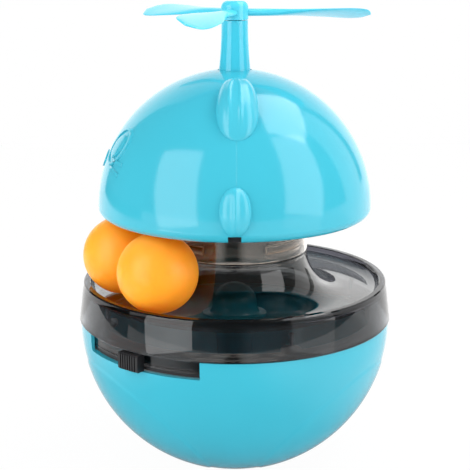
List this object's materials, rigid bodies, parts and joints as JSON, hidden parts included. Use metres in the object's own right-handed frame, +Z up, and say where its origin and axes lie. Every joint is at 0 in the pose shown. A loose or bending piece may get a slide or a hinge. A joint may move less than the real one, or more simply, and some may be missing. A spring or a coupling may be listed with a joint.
{
  "type": "pet treat dispenser toy",
  "caption": "Self-righting weighted bowl toy with a smoked ball track, rolling balls, a sliding treat door and a twist-off dome with ears, paws and a spinning propeller.",
  "frame": {"origin": "middle of the flat under the bowl, on the floor", "axes": "+Z up along the bowl's and the propeller's axis; the dome's face looks along -X; its ears and paws point along -Y and +Y; the pictured side is -Y"},
  "size_m": [0.1636, 0.1636, 0.2415],
  "materials": {
    "sky_blue_plastic": "glossy moulded plastic",
    "rotor_blue_plastic": "glossy moulded plastic",
    "smoked_plastic": "tinted see-through plastic, dark smoke",
    "black_plastic": "fine matt texture",
    "orange_ball": "matt celluloid-like plastic",
    "steel_weight": "plain turned steel",
    "screw_steel": "zinc-plated steel",
    "inner_blue_plastic": "glossy moulded plastic"
  },
  "bodies": {
    "base": {"bowl": "sky_blue_plastic", "counterweight": "steel_weight", "weight_cover": "inner_blue_plastic", "weight_cover_screws": "screw_steel", "outlet_ring": "smoked_plastic", "outlet_ring_screws": "screw_steel", "tray": "smoked_plastic"},
    "door": {"slider_door": "smoked_plastic", "slider_knob": "black_plastic"},
    "back_ball": {"ball_back": "orange_ball"},
    "front_ball": {"ball_front": "orange_ball"},
    "dome": {"dome_shell": "sky_blue_plastic", "dome_floor": "smoked_plastic", "dome_floor_screws": "screw_steel", "mast": "sky_blue_plastic", "mast_washer": "screw_steel", "mast_screw": "screw_steel", "spindle": "screw_steel", "thrust_washer": "screw_steel", "spindle_clip": "screw_steel"},
    "rotor": {"propeller": "rotor_blue_plastic", "hub_cap": "rotor_blue_plastic"}
  },
  "joints": [
    {"name": "door_slide", "type": "hinge", "parent": "base", "child": "door", "pos_m": [0, 0, 0.0762], "axis": [0, 0, 1], "range_deg": [-20.5, 20.5]},
    {"name": "back_ball_roll", "type": "hinge", "parent": "base", "child": "back_ball", "pos_m": [0, 0, 0.11305], "axis": [0, 0, 1], "continuous": true},
    {"name": "front_ball_roll", "type": "hinge", "parent": "back_ball", "child": "front_ball", "pos_m": [0, 0, 0.11305], "axis": [0, 0, 1], "range_deg": [0, 279.5]},
    {"name": "dome_twist", "type": "hinge", "parent": "base", "child": "dome", "pos_m": [0, 0, 0.1237], "axis": [0, 0, 1], "range_deg": [0, 45]},
    {"name": "propeller_spin", "type": "hinge", "parent": "dome", "child": "rotor", "pos_m": [0, 0, 0.2372], "axis": [0, 0, 1], "continuous": true}
  ]
}
